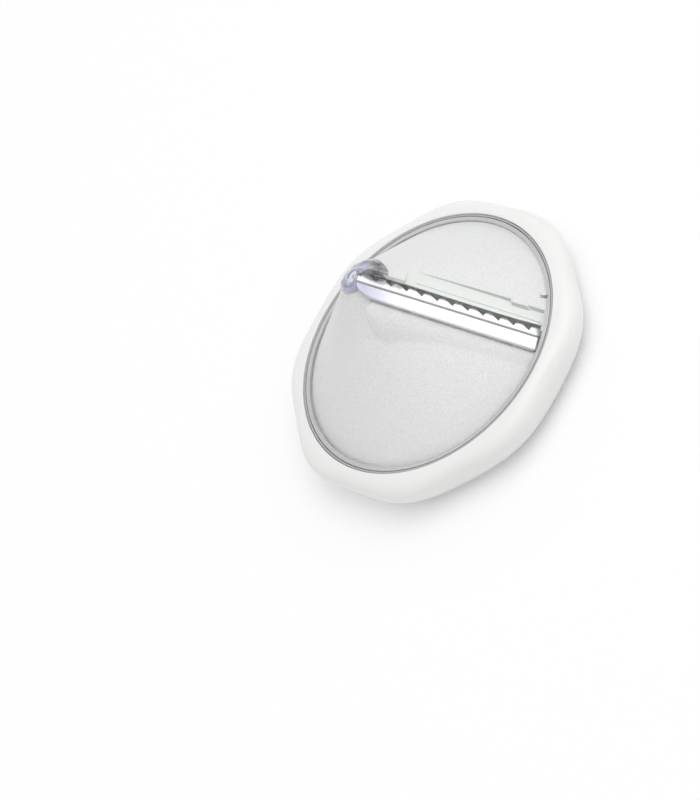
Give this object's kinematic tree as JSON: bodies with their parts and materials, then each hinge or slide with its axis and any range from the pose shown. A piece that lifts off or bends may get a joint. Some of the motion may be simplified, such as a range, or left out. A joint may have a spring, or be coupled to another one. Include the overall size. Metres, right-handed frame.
{
  "type": "spiral vegetable cutter",
  "caption": "Hand-held cone cutter: a frosted cone with a serrated steel blade and slot, held in a white lobed grip ring with an open back.",
  "frame": {"origin": "centre of the grip ring's flat back face, on the cone's axis", "axes": "+Z along the cone's axis from the open back to the tip; +X through the middle of a lobe, about 7.6 degrees round from the blade"},
  "size_m": [0.093, 0.093, 0.047],
  "materials": {
    "white_plastic": "gloss",
    "frosted_plastic": "frosted, see-through",
    "clear_plastic": "polished, clear",
    "grey_rubber": "satin",
    "steel": "polished"
  },
  "bodies": {
    "root": {"grip_ring": "white_plastic", "grip_back_cover": "white_plastic", "cutting_cone": "frosted_plastic", "hub_cap": "clear_plastic", "seal_ring": "grey_rubber", "serrated_blade": "steel", "blade_spine": "steel", "blade_pin_inner": "steel", "blade_pin_outer": "steel"}
  },
  "joints": []
}
